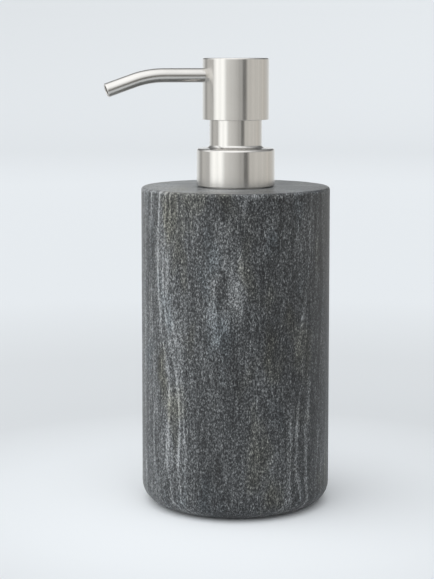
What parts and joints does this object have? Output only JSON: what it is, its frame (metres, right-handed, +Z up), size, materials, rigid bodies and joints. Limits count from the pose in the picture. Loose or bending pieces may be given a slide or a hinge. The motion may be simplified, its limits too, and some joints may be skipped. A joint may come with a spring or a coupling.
{
  "type": "soap pump dispenser",
  "caption": "Turned dark stone liquid-soap reservoir with a screw-on brushed steel pump: round collar, slim neck, press-down head and a thin spout bent downwards.",
  "frame": {"origin": "centre of the foot, on the surface that the dispenser stands on", "axes": "+Z up along the turned axis of the body and pump; the spout points along -X"},
  "size_m": [0.0903, 0.075, 0.1773],
  "materials": {
    "stone": "honed dark grey stone with vertical paler veins",
    "satin_steel": "satin stainless steel",
    "neck_steel": "turned stainless steel",
    "spring_steel": "drawn spring wire",
    "white_plastic": "moulded white polypropylene",
    "clear_plastic": "translucent natural polypropylene",
    "piston_plastic": "moulded soft polyethylene",
    "ball_glass": "polished glass ball",
    "seal_rubber": "black nitrile rubber",
    "washer_foam": "white closed-cell foam",
    "pad_foam": "black anti-slip foam"
  },
  "bodies": {
    "reservoir": {"stone_body": "stone", "base_plug": "stone", "base_pad": "pad_foam", "neck_insert": "neck_steel"},
    "pump_body": {"sealing_washer": "washer_foam", "pump_housing": "clear_plastic", "stem_guide": "white_plastic", "ball_cage": "white_plastic", "dip_tube": "clear_plastic"},
    "collar": {"collar_shell": "satin_steel", "screw_cap": "white_plastic"},
    "spring": {"return_spring": "spring_steel"},
    "head": {"head_shell": "satin_steel", "head_insert": "white_plastic", "spout_tube": "satin_steel", "spout_seal": "seal_rubber", "stem": "white_plastic", "valve_rod": "white_plastic"},
    "piston": {"piston": "piston_plastic"},
    "ball": {"inlet_ball": "ball_glass"}
  },
  "joints": [
    {"name": "pump_rise", "type": "slide", "parent": "reservoir", "child": "pump_body", "axis": [0, 0, 1], "range_m": [0, 0.0064]},
    {"name": "collar_turn", "type": "hinge", "parent": "pump_body", "child": "collar", "pos_m": [0, 0, 0.1335], "axis": [0, 0, 1], "range_deg": [0, 540]},
    {"name": "head_turn", "type": "hinge", "parent": "pump_body", "child": "spring", "pos_m": [0, 0, 0.13955], "axis": [0, 0, 1], "continuous": true},
    {"name": "pump_stroke", "type": "slide", "parent": "spring", "child": "head", "axis": [0, 0, -1], "range_m": [0, 0.0105], "stiffness_N_per_m": 900, "springref_m": -0.01, "deforming": ["return_spring"]},
    {"name": "piston_lag", "type": "slide", "parent": "head", "child": "piston", "axis": [0, 0, 1], "range_m": [0, 0.0012]},
    {"name": "inlet_ball_lift", "type": "slide", "parent": "pump_body", "child": "ball", "axis": [0, 0, 1], "range_m": [0, 0.001]}
  ],
  "couplings": [
    {"joint": "pump_rise", "follows": "collar_turn", "m_per_rad": 0.00067322}
  ]
}
